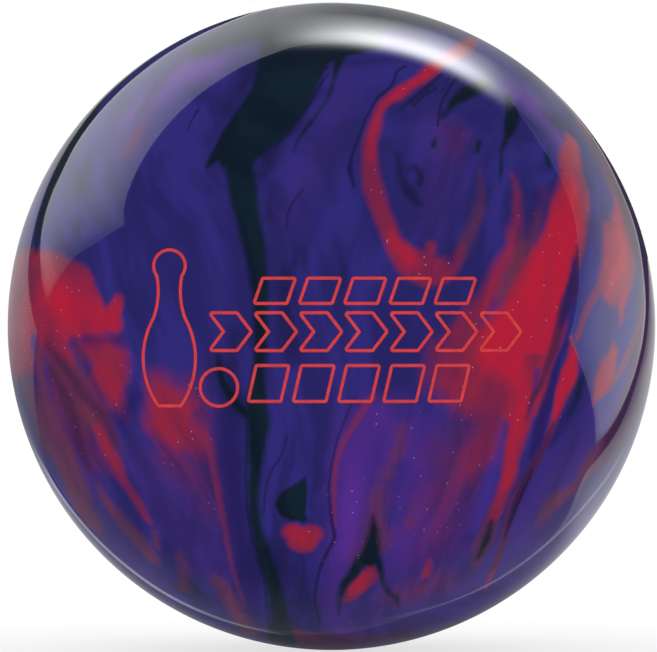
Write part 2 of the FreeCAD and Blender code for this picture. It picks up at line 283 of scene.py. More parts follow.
SWIRLS["brown"] = [
    # haze over the wedge
    (4, (9.5, -29, 1.0), (9, -31.5, 2), (9, -36, 3.5), (9.5, -40.5, 4.5)),
    # edge of the wedge
    (3, (7, -40.5, 0.7), (5, -44.5, 0.8)),
    # far lower left
    (2.5, (-53, -29.5, 1.5), (-52.5, -32.5, 3), (-51, -36, 4), (-49.5, -40.5, 4.5), (-49, -44, 3.5)),
    # spot
    (2, (-42.5, -38.5, 1.0), (-44, -41, 1.5)),
    # bottom left
    (3, (-39, -44, 2), (-41, -47.5, 1.5), (-47.5, -52.5, 1.1)),
    # right of the ribbon
    (2.4, (29.5, 27, 0.2), (29, 24, 0.8), (28, 21, 1.1), (26.5, 18, 1.4), (24.5, 15, 2), (23, 12.5, 2),
     (20.5, 10.5, 2)),
    # lower right
    (3, (58, -28.5, 2.5), (54.5, -30.5, 4), (51.5, -32.5, 4.5), (51.5, -36, 2)),
    # in the violet
    (3.5, (12.5, -17.5, 0.8), (12, -21.5, 1.5), (10.5, -25.5, 1.2)),
    # dash
    (3, (16.5, -32, 0.7), (16.5, -35, 1.0)),
    # outer right rim
    (4, (77, 36, 8), (73.5, 29, 7), (72.5, 22.5, 8), (71.5, 15, 7)),
    # left rim
    (5, (-70.5, -10.5, 6), (-66.5, -14.5, 11), (-64, -20, 12), (-62.5, -26.5, 9), (-65.5, -35, 7)),
    # foot of the big band
    (1.8, (35.5, -33, 2.5), (36, -37, 3.5), (37, -41, 3.5), (38, -45, 2)),
    # between the streak and the big band
    (3, (40.5, 19.5, 1.0), (37.5, 16, 2), (35, 13, 3), (33, 9.5, 3.5), (30.5, 6, 3.5)),
    # right rim's foot
    (3, (64.5, -19.5, 5.5), (61.5, -22.5, 5.5), (58.5, -25, 5), (57, -27, 2.5)),
    # bottom left, second
    (3, (-31.5, -50.5, 3), (-32.5, -55.5, 4), (-35.5, -61.5, 3.5), (-45, -69, 3.5)),
    # under the left red
    (5, (-57, -4.5, 2.5), (-54, -8, 8), (-50.5, -12, 10), (-47, -16, 8), (-45, -19, 3.5)),
    # bottom
    (6, (-22.5, -69, 4.5), (-18.5, -73, 14), (-0.5, -74, 8)),
    # beside the left rim
    (3, (-62.5, -2.5, 2), (-62.5, -5, 3.5), (-62.5, -8.5, 4), (-62.5, -12, 3)),
]
SWIRLS["red"] = [
    # over the right side
    (2.5, (84, 40, 1), (88, 26, 3), (92, 8, 5), (96, -8, 3)),
    # over the left side
    (2.5, (-96, 4, 1), (-93, -14, 4), (-88, -28, 5), (-85, -44, 2)),
    # streak to the big band
    (2.6, (37, 26, 0.4), (37, 23.5, 0.9), (36, 21, 1.4), (35.5, 18.5, 1.5), (34, 16, 1.5),
     (33, 13.5, 1.5), (31, 11, 2), (29, 8, 2.5), (27, 4.5, 3), (24.5, 1.5, 4), (22, -1.5, 3.5)),
    # left, upper lobe
    (2.2, (-77, 6.5, 13), (-63.5, 6, 14), (-56.5, 4.5, 15), (-51, 4, 13), (-47, 2.5, 9), (-43.5, 1, 5),
     (-40.5, 0.5, 3)),
    # left, nub
    (1.6, (-40.5, 2, 3.5), (-39.5, 4, 2)),
    # left, lower lobe
    (4, (-47.5, -3.5, 2.5), (-44, -4.5, 7), (-42.5, -6.5, 10), (-42, -9, 8), (-41.5, -11.5, 5),
     (-40.5, -13.5, 2.5), (-40, -15, 0.9)),
    # second lobe
    (5, (-31.5, -10.5, 3.5), (-30.5, -13, 8), (-29.5, -15.5, 11), (-28.5, -17.5, 9), (-26.5, -19, 5.5)),
    # lower left streak
    (2.6, (-47, -18.5, 2), (-46, -21, 3), (-45, -24, 2.5), (-44.5, -27.5, 2), (-43, -31.5, 1.5),
     (-42.5, -35, 1.1)),
    # ribbon
    (1.6, (79.5, 62.5, 0.6), (48, 57.5, 2.5), (35.5, 53.5, 2.5), (29, 51, 2.5), (24, 48, 2),
     (19, 45.5, 2), (15.5, 43.5, 2), (12.5, 42, 1.5), (10.5, 39.5, 1.5), (9.5, 37, 2), (8, 34, 2),
     (7.5, 31.5, 2), (7.5, 28.5, 2.5), (7.5, 25.5, 3), (8, 22.5, 3), (8.5, 20.5, 3), (9.5, 18, 3),
     (10.5, 15, 3), (12, 12.5, 4), (14, 10.5, 5), (16.5, 9.5, 5.5), (19, 9.5, 4), (21.5, 11, 2.5),
     (23, 13, 1.0)),
    # big band
    (1.8, (61, 33.5, 3.5), (58, 31, 5), (55.5, 28.5, 6), (54, 25.5, 7), (51.5, 22, 8), (48.5, 18.5, 9),
     (46, 15, 9), (43, 11.5, 9), (40, 8, 10), (37.5, 4.5, 11), (36, 1, 12), (34, -2.5, 13),
     (31.5, -5.5, 13), (32, -9, 11), (33.5, -12.5, 8), (35.5, -16, 4.5), (35.5, -19.5, 4),
     (35.5, -23.5, 3), (36, -27, 3), (36, -31, 2.5), (36, -34.5, 2)),
    # left of the big band
    (6, (30, 1.5, 3.5), (25.5, -2.5, 8), (23, -6.5, 11), (25, -10.5, 9), (28.5, -13.5, 5),
     (29.5, -16.5, 4), (29, -19.5, 3.5), (28, -23, 2.5), (27.5, -26, 1.2)),
    # second band
    (1.3, (45.5, -2.5, 0.7), (46, -5.5, 3), (45.5, -8.5, 4.5), (44.5, -11.5, 3.5), (44, -14.5, 2),
     (43.5, -17, 1.5), (43, -20, 1.2)),
    # round spot
    (1.5, (-8, -38, 3.5), (-6.5, -39, 6), (-4.5, -38, 3.5)),
    # in the wedge
    (1.4, (9.5, -46, 1.5), (9.5, -48, 3), (7, -51.5, 3.5), (5, -54.5, 2)),
    # small dash
    (1.6, (24, -44.5, 0.6), (24.5, -46, 1.3), (25, -48, 0.9)),
    # far right
    (2.5, (69, 21.5, 2), (67, 18.5, 5), (65, 15, 11), (62, 11, 11), (58, 7.5, 7)),
    # far right foot
    (2, (62.5, 7.5, 5.5), (61, 4, 3), (60.5, 1.5, 1.1)),
    # right patch
    (2, (58, -5, 2.5), (56.5, -7.5, 5.5), (55, -10.5, 4.5), (54, -12.5, 1.5)),
    # nub over the ribbon's foot
    (1.6, (17, 11, 1.5), (17.5, 13.5, 1.3)),
    # between the gaps
    (1.8, (43, 0.5, 2), (41.5, -3, 2.5), (40, -7, 2.5), (39.5, -11, 2.5), (38.5, -14.5, 1.5)),
    # left rim, under the lobe
    (4, (-76, 0, 17), (-72, -2, 19), (-69.5, -4, 12), (-67.5, -6, 4)),
    # left, upper lobe's foot
    (3, (-59, -1.5, 5.5), (-55, -3.5, 5), (-52, -5, 2)),
]
SWIRLS["maroon"] = [
    # right rim
    (3, (85, 13.5, 1.5), (78.5, 3, 14), (74, -6, 16), (71, -13, 14), (67, -19, 10)),
    # bottom
    (7, (-20.5, -74.5, 12), (14, -76, 11), (40, -71, 7)),
    # gap in the big band
    (1.2, (49, 13, 0.8), (47.5, 10, 1.5), (46, 6.5, 2.5), (44, 3.5, 2.5), (42.5, 0, 2), (41.5, -3.5, 2),
     (40, -7, 1.5), (39, -10, 1.3), (37.5, -12.5, 0.9), (37, -15.5, 0.6)),
    # gap in the left red
    (3, (-58.5, -3.5, 2), (-53, -7.5, 2), (-48.5, -12, 2.5), (-44.5, -16, 2), (-43.5, -20, 1.5)),
    # line
    (1.4, (43.5, -17.5, 1.2), (42.5, -21, 2), (41.5, -24.5, 2.5), (40.5, -28.5, 2), (40.5, -33.5, 2),
     (41.5, -38, 1.5), (43.5, -42.5, 1.4), (45.5, -47, 1.3)),
    # left streak
    (3, (-58, -8, 2), (-55, -12, 3), (-53.5, -16.5, 3.5), (-53.5, -21.5, 2.5), (-53.5, -25, 1.3)),
    # between the left lobes
    (3, (-50.5, -2.5, 0.5), (-48, -5, 1.2), (-46.5, -8.5, 1.5), (-44.5, -12, 1.2)),
    # outer right rim
    (4, (84, 36.5, 7), (80, 30.5, 10), (78, 23.5, 12), (76, 15.5, 12)),
]
SWIRLS["scarlet"] = [
    # left
    (9, (-60, 5, 5.5), (-52.5, 4, 7), (-45.5, 1.5, 4.5), (-41.5, 0.5, 2)),
    # ribbon's top
    (3, (30, 51, 0.7), (24, 48, 1.3), (18.5, 45.5, 1.4), (15, 43, 1.3), (12.5, 41, 0.9)),
    # ribbon's foot
    (3, (10.5, 15.5, 0.2), (12, 13, 1.0), (14, 11, 1.3)),
    # big band
    (4, (54, 26, 0.9), (51.5, 22.5, 3.5), (48.5, 19, 7), (45.5, 15, 8), (42.5, 11, 8), (40, 7, 9),
     (38, 3, 10), (34.5, -1, 11), (30.5, -4, 9), (33.5, -8, 4), (35, -12, 2), (35, -16, 2),
     (35, -19.5, 1.5), (35.5, -23.5, 0.9), (35.5, -27.5, 0.4)),
    # second band
    (2, (46, -5.5, 2), (45.5, -8.5, 3.5), (44, -11.5, 2.5), (43.5, -14.5, 1.4)),
    # round spot
    (8, (-8.5, -37, 0.6), (-7, -38, 0.8)),
    # in the wedge
    (5, (8, -48.5, 0.2), (6.5, -51.5, 0.4)),
    # ribbon's middle
    (3, (12, 41.5, 0.7), (9.5, 37.5, 0.2), (8.5, 34, 0.1), (8, 30, 0.1)),
    # far right
    (4, (65.5, 15.5, 2), (62.5, 11, 2), (58.5, 8, 1.2)),
]
SWIRLS["navy"] = [
    # gap beside the second band
    (1.3, (44.5, -3, 0.7), (43, -5, 1.1), (42, -8, 2), (41.5, -10.5, 2), (41, -13.5, 2.5),
     (40.5, -16.5, 2.5), (40.5, -20, 2.5), (40, -22.5, 1.2)),
    # between the left lobes
    (3, (-47.5, -2.5, 0.5), (-43.5, -2.5, 0.8), (-39, -2.5, 1.1)),
    # under the left lobes
    (4, (-40, -16, 2.5), (-36.5, -12, 1.5)),
    # right of the second band
    (3, (50, -8.5, 1.5), (48.5, -12.5, 3.5), (46.5, -16, 3), (44.5, -20, 1.5)),
    # hollow over the ribbon's foot
    (3, (21, 13.5, 1.4), (21, 12, 2)),
    # big band's left edge
    (4, (41, 23, 0.6), (39, 19.5, 1.0), (37, 16, 0.8)),
    # core of the gap
    (1.6, (47.5, 11, 1.0), (46, 7.5, 1.5), (44.5, 4, 1.4), (43, 0.5, 0.9)),
    # left of the tail
    (4, (-19.5, -16, 2.5), (-19, -23, 4), (-20, -33, 3.5), (-21.5, -44, 3.5), (-28, -59, 3.5)),
]

# Thin lines: each is its points only, as above.
LINES = {}
LINES["dark"] = [
    # edge of the swirl
    [(-2, 47.5, 0.6), (-4.5, 42.5, 0.6), (-7, 38.5, 0.5), (-9.5, 35, 0.4), (-11, 32, 0.3)],
    # ring
    [(-3, 50, 0.7), (-2, 51, 0.8), (-1, 49.5, 0.5), (-1.5, 48.5, 0.8), (-3, 49, 0.5)],
    # beside the ribbon
    [(20.5, 51, 0.7), (17.5, 49.5, 0.5), (15, 46, 0.5), (12.5, 44, 0.6), (10.5, 42.5, 0.5), (8, 39, 0.3),
     (5.5, 34, 0.4), (4, 30, 0.6), (3.5, 27.5, 1.0), (4, 24.5, 0.6)],
    # right of the ribbon
    [(30, 49, 0.5), (20.5, 43.5, 0.6), (15.5, 40, 0.3)],
    # right of the ribbon
    [(26.5, 45.5, 0.4), (21.5, 43, 0.4), (19, 41, 0.3)],
    # top right fleck
    [(34, 48, 0.5), (29, 44.5, 0.5), (25.5, 41, 0.4), (23, 36.5, 0.4)],
    # right of the tail
    [(-5.5, 23.5, 0.3), (-7.5, 20.5, 0.3), (-8, 17, 0.2)],
    # lower loop
    [(-8, -19, 0.3), (-9, -22, 0.3), (-11.5, -25.5, 0.3), (-13, -29.5, 0.3), (-14, -33.5, 0.3)],
    # left of the tail
    [(-15, -17.5, 0.3), (-16.5, -27, 0.3), (-17.5, -35, 0.4), (-17.5, -42, 0.4), (-18.5, -50.5, 0.4),
     (-28.5, -67, 0.5)],
    # left of the violet
    [(4, -12, 0.2), (2.5, -15.5, 0.3), (1, -19.5, 0.3), (0, -24, 0.3), (-0.5, -29, 0.3), (0, -35, 0.5),
     (0.5, -39, 0.7), (-1.5, -43, 0.6), (-3.5, -48, 0.5), (-5, -55, 0.5), (-4.5, -63, 0.4)],
    # left dashes
    [(-31.5, 40, 0.5), (-32, 36, 0.3)],
    # core of the maroon line
    [(41.5, -25.5, 0.4), (41, -30, 0.8), (41, -34.5, 0.8), (42, -39.5, 0.5)],
]
LINES["rose"] = [
    # right edge of the left lobe
    [(-23, -18, 0.9), (-22.5, -22.5, 1.3), (-22.5, -28, 1.3), (-23, -35, 1.1), (-24.5, -43, 0.8),
     (-26.5, -51, 0.7), (-29, -58, 0.8)],
    # left of the violet
    [(7, -12, 1.1), (5, -15, 1.1), (3.5, -17.5, 1.0), (2, -20, 1.0), (1, -23, 0.9), (0.5, -26.5, 0.8),
     (0.5, -30, 0.7), (0.5, -33, 0.5), (1, -36, 0.2)],
    # second band's tail
    [(39.5, -28, 0.5), (39, -32, 0.5), (40.5, -37, 0.5), (43, -41.5, 0.8), (46, -47.5, 1.3),
     (50, -52.5, 0.8)],
    # right streak
    [(56, 8.5, 2.5), (52.5, 5.5, 2), (49.5, 2.5, 1.5), (47, -2, 1.2)],
    # far right line
    [(73.5, 6.5, 3.5), (70.5, 1.5, 3.5), (66, -3, 2.5), (61.5, -7.5, 2), (58, -11, 1.0)],
]
# A thin line's half width shrinks by LINE_FADE mm for each mm past LINE_REACH mm to its side.
LINE_REACH = 2.5
LINE_FADE = 4

# The ball's back carries the same pour, turned over about the side-to-side axis so that the strokes
# meet at the sides, twisted by this much in the middle and swayed by this share of the radius in waves.
BACK_TWIST = math.radians(35)
BACK_SWAY = 0.12
BACK_WAVES = 6
COPY_REACH = 0.3  # each copy of the pour reaches this share of the radius past the sides
STROKE_STEP = 0.6  # mm along a stroke
EDGE_LIMIT = 6.0  # soft edges outside a stroke where no layer of colour is felt
FAR_ASIDE = 99.0  # mm, where no thin line is near

# ---------------------------------------------------------------- mesh of the cover


def ball_points(cells, crowding):
    """Directions and quads of a cube's grid blown up to a ball, crowded towards the front."""
    steps = np.tan(np.linspace(-1, 1, cells + 1) * math.pi / 4)
    across, up = np.meshgrid(steps, steps, indexing="ij")
    ahead = np.ones_like(across)
    sides = []
    for turn in (1, -1):
        sides.append((turn * ahead, across, turn * up))
        sides.append((turn * up, turn * ahead, across))
        sides.append((across, turn * up, turn * ahead))
    points = np.concatenate([np.stack(side, -1).reshape(-1, 3) for side in sides])
    points /= np.linalg.norm(points, axis=1, keepdims=True)
    corner = np.arange((cells + 1) ** 2).reshape(cells + 1, cells + 1)
    cells_of_side = [corner[:-1, :-1], corner[1:, :-1], corner[1:, 1:], corner[:-1, 1:]]
    quads = np.stack(cells_of_side, -1).reshape(-1, 4)
    quads = np.concatenate([quads + number * corner.size for number in range(len(sides))])
    _, kept, place = np.unique(points.round(SAME_DIGITS), axis=0, return_index=True, return_inverse=True)
    points, quads = points[kept], place.ravel()[quads]
    from_front = np.arccos(np.clip(-points[:, 1], -1, 1))
    crowded = from_front - crowding * np.sin(from_front)
    ring = np.hypot(points[:, 0], points[:, 2]).clip(TINY)
    outward = np.stack([points[:, 0] / ring, points[:, 2] / ring], -1) * np.sin(crowded)[:, None]
    return np.stack([outward[:, 0], -np.cos(crowded), outward[:, 1]], -1), quads


def new_object(name, points, faces):
    mesh = bpy.data.meshes.new(name)
    mesh.from_pydata(np.asarray(points).tolist(), [], np.asarray(faces).tolist())
    piece = bpy.data.objects.new(name, mesh)
    bpy.context.collection.objects.link(piece)
    return piece


def make_ball(name, radius, cells, crowding):
    directions, quads = ball_points(cells, crowding)
    piece = new_object(name, directions * radius, quads)
    tidy_normals(piece)
    return piece


def read_all(items, field, width=1, kind=float):
    """One field of all a mesh's points, corners or faces, as an array."""
    values = np.empty(len(items) * width, dtype=kind)
    items.foreach_get(field, values)
    return values.reshape(-1, width) if width > 1 else values


def tidy_normals(piece):
    """Welds the seams of a mesh and turns its faces outward."""
    shape = bmesh.new()
    shape.from_mesh(piece.data)
    bmesh.ops.remove_doubles(shape, verts=shape.verts, dist=WELD)
    bmesh.ops.recalc_face_normals(shape, faces=shape.faces)
    shape.to_mesh(piece.data)
    shape.free()


def make_cutter(node, outward):
    """A copy of a filling, made longer so that it stands out through the cover's surface. outward is
    the way that its hole runs."""
    cutter = bpy.data.objects.new(f"{node}_cutter", frame["nodes"][node].data.copy())
    bpy.context.collection.objects.link(cutter)
    tidy_normals(cutter)
    for vertex in cutter.data.vertices:
        if vertex.co.length > RADIUS - CUT_FROM:
            vertex.co += outward * CUT_REACH
    return cutter


def cut_away(piece, cutter):
    """Takes the cutter's shape out of the piece."""
    difference = piece.modifiers.new("cut", "BOOLEAN")
    difference.object = cutter
    difference.operation = "DIFFERENCE"
    difference.solver = "MANIFOLD"
    bpy.context.view_layer.update()
    seen = piece.evaluated_get(bpy.context.evaluated_depsgraph_get())
    result = bpy.data.meshes.new_from_object(seen)
    piece.modifiers.clear()
    if not result.polygons:
        raise RuntimeError(f"{cutter.name} left nothing of {piece.name}")
    piece.data = result
    bpy.data.objects.remove(cutter)


def middle_of(node):
    low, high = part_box(node)
    return (Vector(low) + Vector(high)) / 2


def make_cover():
    """The cover: a shell round the core, with its engraving and its drilled holes."""
    cover = make_ball("cover", RADIUS, OUTER_CELLS, CROWDING)
    cut_away(cover, make_ball("core_room", CORE_RADIUS, INNER_CELLS, 0))
    for node in EMBLEM:
        cut_away(cover, make_cutter(node, Vector((0, -1, 0))))
    for node in DRILLED:
        cut_away(cover, make_cutter(node, middle_of(node).normalized()))
    smooth_outside(cover)
    return cover


def smooth_outside(cover):
    """Gives the outer surface the normals of a true ball, and leaves the engraving's edges sharp."""
    mesh = cover.data
    places = read_all(mesh.vertices, "co", 3)
    from_centre = np.linalg.norm(places, axis=1)
    corner_vertex = read_all(mesh.loops, "vertex_index", kind=int)
    sizes = read_all(mesh.polygons, "loop_total", kind=int)
    corner_normal = np.repeat(read_all(mesh.polygons, "normal", 3), sizes, axis=0)
    starts = np.concatenate([[0], np.cumsum(sizes)[:-1]])
    lowest = np.minimum.reduceat(from_centre[corner_vertex], starts)
    outside = np.repeat(lowest > RADIUS - SURFACE_DEPTH, sizes)
    true_normal = places / from_centre[:, None]
    corner_normal[outside] = true_normal[corner_vertex[outside]]
    mesh.shade_smooth()
    mesh.normals_split_custom_set(corner_normal.tolist())


# ---------------------------------------------------------------- painting the pour on the cover


def on_ball(right, up):
    """The direction that lies this many degrees to the right of the front and this many up."""
    turn, lift = math.radians(right), math.radians(up)
    return np.array([math.sin(turn) * math.cos(lift), -math.cos(turn) * math.cos(lift), math.sin(lift)])


def curve_between(share, start, end, leave, arrive):
    """The smooth curve from start to end at this share of the way, which leaves and arrives at the given
    rates."""
    s2, s3 = share**2, share**3
    curve = (2 * s3 - 3 * s2 + 1) * start + (s3 - 2 * s2 + share) * leave
    return curve + (3 * s2 - 2 * s3) * end + (s3 - s2) * arrive


def smooth_run(points):
    """A smooth line over the ball through the points of a stroke: directions, and half widths in mm."""
    places = [on_ball(right, up) for right, up, _ in points]
    halves = [half for _, _, half in points]
    places = [2 * places[0] - places[1], *places, 2 * places[-1] - places[-2]]
    run, run_halves = [], []
    for number in range(len(points) - 1):
        before, start, end, after = places[number : number + 4]
        length = np.linalg.norm(end - start) * RADIUS / MM
        shares = np.linspace(0, 1, max(2, math.ceil(length / STROKE_STEP)), endpoint=False)[:, None]
        run.append(curve_between(shares, start, end, (end - before) / 2, (after - start) / 2))
        run_halves.append((halves[number] * (1 - shares) + halves[number + 1] * shares).ravel())
    run.append(places[-2][None])
    run_halves.append(np.array(halves[-1:]))
    run = np.concatenate(run)
    return run / np.linalg.norm(run, axis=1, keepdims=True), np.concatenate(run_halves)


def beside(directions, points):
    """How far each direction lies to the side of a stroke, how far past its ends, and the stroke's half
    width beside it, all in mm."""
    run, halves = smooth_run(points)
    nearest = np.argmax(directions @ run.T, axis=1)
    ahead = np.gradient(run, axis=0)
    ahead /= np.linalg.norm(ahead, axis=1, keepdims=True)
    side = np.cross(run, ahead)
    offset = (directions - run[nearest]) * RADIUS / MM
    aside = (offset * side[nearest]).sum(1)
    along = np.abs((offset * ahead[nearest]).sum(1))
    return aside, (along - STROKE_STEP).clip(0), halves[nearest]


def turned_over(directions):
    """Where the back's copy of the pour looks up its colour."""
    x, y, z = directions[:, 0], -directions[:, 1], -directions[:, 2]
    depth = (-y).clip(0)
    turn = BACK_TWIST * depth**2
    x, z = x * np.cos(turn) - z * np.sin(turn), x * np.sin(turn) + z * np.cos(turn)
    x = x + BACK_SWAY * depth * np.sin(BACK_WAVES * z)
    z = z + BACK_SWAY * depth * np.sin(BACK_WAVES * x)
    looked_up = np.stack([x, y, z], -1)
    return looked_up / np.linalg.norm(looked_up, axis=1, keepdims=True)


def pour_layers(directions):
    """For each colour, how far inside its strokes each direction lies, as a share of the soft edge, and
    for the thin lines the distance to the side and the half width in mm."""
    layers = {name: np.full(len(directions), -EDGE_LIMIT) for name in SWIRLS}
    for name in LINES:
        layers[f"{name}_aside"] = np.full(len(directions), FAR_ASIDE)
        layers[f"{name}_half"] = np.full(len(directions), -FAR_ASIDE)
    for copy in (directions, turned_over(directions)):
        near = np.flatnonzero(copy[:, 1] < COPY_REACH)
        spots = copy[near]
        for name, strokes in SWIRLS.items():
            for softness, *points in strokes:
                aside, past, half = beside(spots, points)
                inside = (half - np.hypot(aside, past)) / softness
                layers[name][near] = np.maximum(layers[name][near], inside)
        for name, strokes in LINES.items():
            aside_layer, half_layer = layers[f"{name}_aside"], layers[f"{name}_half"]
            for points in strokes:
                aside, past, half = beside(spots, points)
                reach = half - past - LINE_FADE * (np.abs(aside) - LINE_REACH).clip(0)
                closer = np.hypot(aside, past) < np.abs(aside_layer[near])
                aside_layer[near[closer]] = aside[closer]
                half_layer[near[closer]] = reach[closer]
    return layers


def paint(cover):
    """Stores the pour's layers as values on the cover's points."""
    mesh = cover.data
    places = read_all(mesh.vertices, "co", 3)
    directions = places / np.linalg.norm(places, axis=1, keepdims=True)
    for name, values in pour_layers(directions).items():
        layer = mesh.attributes.new(name, "FLOAT", "POINT")
        layer.data.foreach_set("value", values.astype(np.float32))


# ---------------------------------------------------------------- materials


class Material:
    """A node material with one Principled shader."""

    def __init__(self, name):
        self.material = bpy.data.materials.new(name)
        self.material.use_nodes = True
        self.tree = self.material.node_tree
        self.shader = self.tree.nodes["Principled BSDF"]
        self.places = self.node("ShaderNodeTexCoord").outputs["Object"]

    def node(self, kind, **settings):
        item = self.tree.nodes.new(kind)
        for name, value in settings.items():
            setattr(item, name, value)
        return item

    def set(self, socket, value):
        """Links the socket to another node's output, or gives it a plain value."""
        if isinstance(value, bpy.types.NodeSocket):
            self.tree.links.new(value, socket)
        else:
            socket.default_value = value

    def math(self, operation, first, second=0.0, third=0.0):
        item = self.node("ShaderNodeMath", operation=operation)
        for socket, value in zip(item.inputs, (first, second, third)):
            self.set(socket, value)
        return item.outputs[0]

    def vector(self, operation, first, second):
        item = self.node("ShaderNodeVectorMath", operation=operation)
        self.set(item.inputs[0], first)
        self.set(item.inputs[1], second)
        return item.outputs[0]

    def noise(self, size, detail, places=None, output="Fac"):
        """Noise from 0 to 1, whose features are about this many metres across."""
        item = self.node("ShaderNodeTexNoise")
        self.set(item.inputs["Vector"], places or self.places)
        self.set(item.inputs["Scale"], 1 / size)
        self.set(item.inputs["Detail"], detail)
        return item.outputs[output]

    def step(self, value, low, high, to_low=0.0, to_high=1.0):
        """A soft step from to_low to to_high as the value goes from low to high."""
        item = self.node("ShaderNodeMapRange", interpolation_type="SMOOTHSTEP")
        for socket, number in zip(item.inputs, (value, low, high, to_low, to_high)):
            self.set(socket, number)
        return item.outputs["Result"]

    def mix(self, share, first, second):
        item = self.node("ShaderNodeMix", data_type="RGBA")
        self.set(item.inputs["Factor"], share)
        self.set(item.inputs["A"], colour(first))
        self.set(item.inputs["B"], colour(second))
        return item.outputs["Result"]

    def attribute(self, name):
        return self.node("ShaderNodeAttribute", attribute_name=name).outputs["Fac"]

    def bump(self, height, depth):
        item = self.node("ShaderNodeBump")
        self.set(item.inputs["Strength"], 1.0)
        self.set(item.inputs["Distance"], depth)
        self.set(item.inputs["Height"], height)
        self.set(self.shader.inputs["Normal"], item.outputs["Normal"])

    def finish(self, **sockets):
        for name, value in sockets.items():
            self.set(self.shader.inputs[name.replace("_", " ").title()], value)
        return self.material


def colour(value):
    """Turns a screen colour of three numbers from 0 to 255 into the linear colour that shaders use."""
    if isinstance(value, bpy.types.NodeSocket):
        return value
    shares = [number / 255 for number in value]
    # the sRGB curve
    linear = [share / 12.92 if share <= 0.04045 else ((share + 0.055) / 1.055) ** 2.4 for share in shares]
    return (*linear, 1.0)


def streaked(resin):
    """Places bent by slow noise, and the same places squeezed along the pour, where noise runs in long
    streaks. On the ball's front the streaks fan out towards the top."""
    bend = resin.vector("SUBTRACT", resin.noise(60 * MM, 2, output="Color"), (0.5, 0.5, 0.5))
    bent = resin.vector("ADD", resin.places, resin.vector("MULTIPLY", bend, (20 * MM, 20 * MM, 20 * MM)))
    split = resin.node("ShaderNodeSeparateXYZ")
    resin.set(split.inputs[0], bent)
    x, y, z = split.outputs
    fan = resin.step(y, -60 * MM, 0.0, 1.0, 0.0)
    lean = resin.math("MULTIPLY", resin.step(x, -60 * MM, 60 * MM, -0.4, 0.4), fan)
    joined = resin.node("ShaderNodeCombineXYZ")
    resin.set(joined.inputs["X"], resin.math("SUBTRACT", x, resin.math("MULTIPLY", lean, z)))
    resin.set(joined.inputs["Y"], resin.math("MULTIPLY", y, 0.4))
    resin.set(joined.inputs["Z"], resin.math("MULTIPLY", z, 0.2))
    return bent, joined.outputs[0]


def painted_pearl_glints(resin, where, strength):
    """How much of a painted glint shows: pale dots, about 3.4 mm apart, that stand for the pearl flakes'
    sparkle, only where wanted.
    """
    pearl = resin.node("ShaderNodeTexVoronoi")
    resin.set(pearl.inputs["Vector"], resin.places)
    resin.set(pearl.inputs["Scale"], 1 / (3.4 * MM))
    # painted glint: a pale dot at the middle of each cell
    glint_dot = resin.step(pearl.outputs["Distance"], 0.04, 0.09, 1.0, 0.0)
    return resin.math("MULTIPLY", glint_dot, resin.math("MULTIPLY", where, strength))


